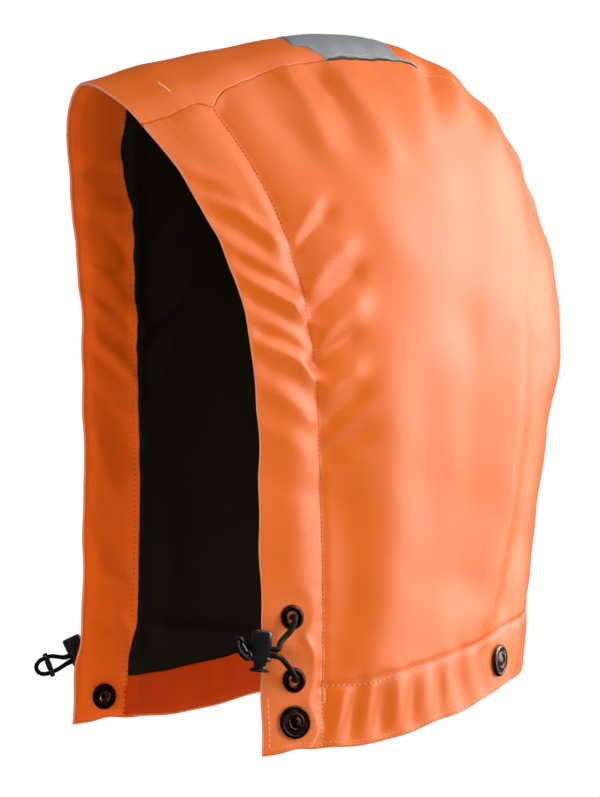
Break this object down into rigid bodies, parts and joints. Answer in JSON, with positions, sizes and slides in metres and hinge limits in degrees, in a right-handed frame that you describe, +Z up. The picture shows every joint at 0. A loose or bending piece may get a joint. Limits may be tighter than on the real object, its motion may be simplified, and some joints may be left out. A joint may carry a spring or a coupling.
{
  "type": "detachable hood",
  "caption": "Three-panel hi-vis rain hood with a dark lining, a reflective crown band, press studs along the neck and a locking elastic drawcord at each side.",
  "frame": {"origin": "the inner face of the lining at the crown, under the middle of the reflective tape, where the top of the head touches", "axes": "+Z up, the face opening looks along -Y, +X is the wearer's left"},
  "size_m": [0.2395, 0.248, 0.3384],
  "materials": {
    "shell_fabric": "coated twill, slight sheen",
    "facing_fabric": "coated twill, slight sheen",
    "lining_fabric": "thin woven, matt",
    "reflective_tape": "grey reflective fabric, satin",
    "antique_metal": "dark antique plating",
    "black_plastic": "gloss",
    "elastic_cord": "braided cover, matt"
  },
  "bodies": {
    "hood": {"side_panel_left": "shell_fabric", "side_panel_right": "shell_fabric", "centre_panel": "shell_fabric", "face_facing": "facing_fabric", "hem_facing": "facing_fabric", "lining": "lining_fabric", "reflective_tape": "reflective_tape", "eyelet_left_upper": "antique_metal", "eyelet_left_lower": "antique_metal", "eyelet_right_upper": "antique_metal", "eyelet_right_lower": "antique_metal", "stud_cap_front_left": "antique_metal", "stud_socket_front_left": "antique_metal", "stud_cap_front_right": "antique_metal", "stud_socket_front_right": "antique_metal", "stud_cap_hem_left": "antique_metal", "stud_socket_hem_left": "antique_metal", "stud_cap_hem_right": "antique_metal", "stud_socket_hem_right": "antique_metal", "cord_lock_barrel_left": "black_plastic", "cord_stop_left": "black_plastic", "elastic_cord_left": "elastic_cord", "cord_lock_barrel_right": "black_plastic", "cord_stop_right": "black_plastic", "elastic_cord_right": "elastic_cord"},
    "plunger_left": {"cord_lock_plunger_left": "black_plastic"},
    "plunger_right": {"cord_lock_plunger_right": "black_plastic"}
  },
  "joints": [
    {"name": "cord_lock_left_press", "type": "slide", "parent": "hood", "child": "plunger_left", "axis": [0.038, 0.084, 0.9957], "range_m": [0, 0.002], "stiffness_N_per_m": 300, "springref_m": -0.004},
    {"name": "cord_lock_right_press", "type": "slide", "parent": "hood", "child": "plunger_right", "axis": [-0.188, -0.379, 0.9061], "range_m": [0, 0.002], "stiffness_N_per_m": 300, "springref_m": -0.004}
  ]
}
